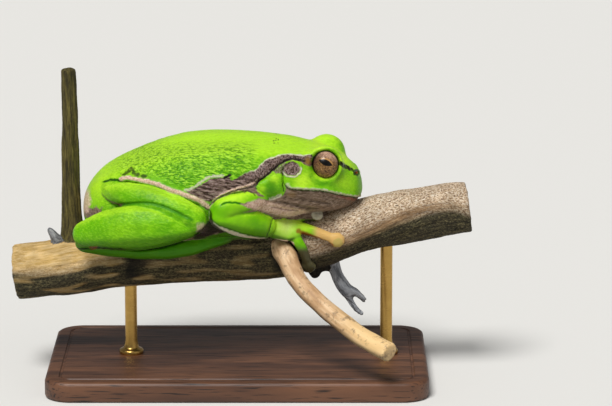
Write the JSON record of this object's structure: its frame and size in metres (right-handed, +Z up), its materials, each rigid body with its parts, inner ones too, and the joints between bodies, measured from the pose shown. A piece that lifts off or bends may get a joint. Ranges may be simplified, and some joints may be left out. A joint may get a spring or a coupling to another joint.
{
  "type": "european tree frog model",
  "caption": "Life-size still model of a European tree frog resting with folded limbs on a cut length of branch, held up by a plain flat stand.",
  "frame": {"origin": "middle of the stand's underside, on the table", "axes": "+X the way the frog faces along the branch, +Y its left side, +Z up"},
  "size_m": [0.068, 0.0376, 0.046],
  "materials": {
    "skin": "moist frog skin, satin",
    "eye": "wet, clear gloss",
    "bark": "dry grey-brown stem, matt",
    "pale_bark": "smooth tan twig, satin",
    "stand_wood": "oiled dark wood",
    "rod_metal": "brushed"
  },
  "bodies": {
    "root": {"head": "skin", "torso": "skin", "eye_right": "eye", "eye_left": "eye", "upper_arm_right": "skin", "upper_arm_left": "skin", "forearm_right": "skin", "forearm_left": "skin", "hand_right": "skin", "hand_left": "skin", "thigh_right": "skin", "thigh_left": "skin", "shin_right": "skin", "shin_left": "skin", "foot_right": "skin", "foot_left": "skin", "perch_branch": "bark", "perch_twig_up": "bark", "perch_bud": "bark", "perch_stub": "bark", "perch_twig_front": "pale_bark", "stand_base": "stand_wood", "stand_rod_rear": "rod_metal", "stand_rod_front": "rod_metal"}
  },
  "joints": []
}
